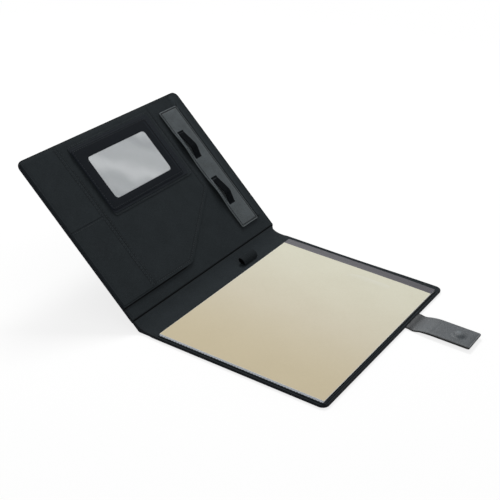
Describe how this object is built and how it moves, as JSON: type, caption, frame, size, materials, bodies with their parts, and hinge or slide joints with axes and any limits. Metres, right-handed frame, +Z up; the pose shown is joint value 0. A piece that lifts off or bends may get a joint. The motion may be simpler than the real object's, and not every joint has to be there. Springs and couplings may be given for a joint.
{
  "type": "portfolio with writing pad",
  "caption": "Open document portfolio with a writing pad, a pen loop, pockets with a clear window, an organiser strip with elastic loops and a magnetic closure strap.",
  "frame": {"origin": "middle of the back cover's underside, on the surface it lies on", "axes": "+X from the spine towards the closure strap, +Y along the spine towards the pad's bound end, +Z up"},
  "size_m": [0.5012, 0.317, 0.1575],
  "materials": {
    "cover_skin": "matte black with a fine grain",
    "cover_board": "grey board, hidden",
    "lining_cloth": "matte charcoal plain weave",
    "grey_leather": "satin dark grey with a soft grain",
    "smooth_leather": "smooth satin black",
    "black_elastic": "ribbed black elastic",
    "grey_card": "plain grey card",
    "white_paper": "matte edge of stacked sheets",
    "cream_paper": "matte cream sheet, unprinted",
    "binding_tape": "glossy dark tape",
    "silver_card": "pale grey blank card",
    "clear_film": "clear soft film",
    "magnet_steel": "plated, hidden"
  },
  "bodies": {
    "back_cover": {"back_cover_skin": "cover_skin", "back_cover_board": "cover_board", "back_cover_lining": "lining_cloth", "strap_anchor": "grey_leather", "pad_backing_card": "grey_card", "pad_slot_panel": "lining_cloth", "pad_pages": "white_paper", "pad_cover_sheet": "cream_paper", "pad_binding_tape": "binding_tape"},
    "spine": {"spine_skin": "cover_skin", "spine_core": "cover_board", "spine_lining": "lining_cloth", "front_crease": "lining_cloth", "back_crease": "lining_cloth", "pen_loop": "black_elastic"},
    "front_cover": {"front_cover_skin": "cover_skin", "front_cover_board": "cover_board", "cover_magnet": "magnet_steel", "front_cover_lining": "lining_cloth", "document_pocket": "lining_cloth", "slip_pocket_outer": "lining_cloth", "slip_pocket_inner": "lining_cloth", "card_slot_back": "lining_cloth", "card_slot_front": "smooth_leather", "window_frame": "smooth_leather", "window_card": "silver_card", "window_film": "clear_film", "organizer_strip": "grey_leather", "elastic_loop_outer": "black_elastic", "elastic_loop_inner": "black_elastic"},
    "strap_riser": {"strap_band_riser": "grey_leather"},
    "strap_tip": {"strap_band_tip": "grey_leather", "strap_backing": "grey_leather", "strap_magnet": "magnet_steel"}
  },
  "joints": [
    {"name": "spine_fold", "type": "hinge", "parent": "back_cover", "child": "spine", "pos_m": [-0.112, 0, 0.0018], "axis": [0, 1, 0], "range_deg": [0, 72.2]},
    {"name": "cover_fold", "type": "hinge", "parent": "spine", "child": "front_cover", "pos_m": [-0.13787, 0, 0.0101], "axis": [0, 1, 0], "range_deg": [-42, 67.1]},
    {"name": "strap_root_fold", "type": "hinge", "parent": "back_cover", "child": "strap_riser", "pos_m": [0.1133, 0.064, 0.00175], "axis": [0, -1, 0], "range_deg": [0, 84]},
    {"name": "strap_top_fold", "type": "hinge", "parent": "strap_riser", "child": "strap_tip", "pos_m": [0.1463, 0.064, 0.00435], "axis": [0, -1, 0], "range_deg": [0, 96]}
  ]
}
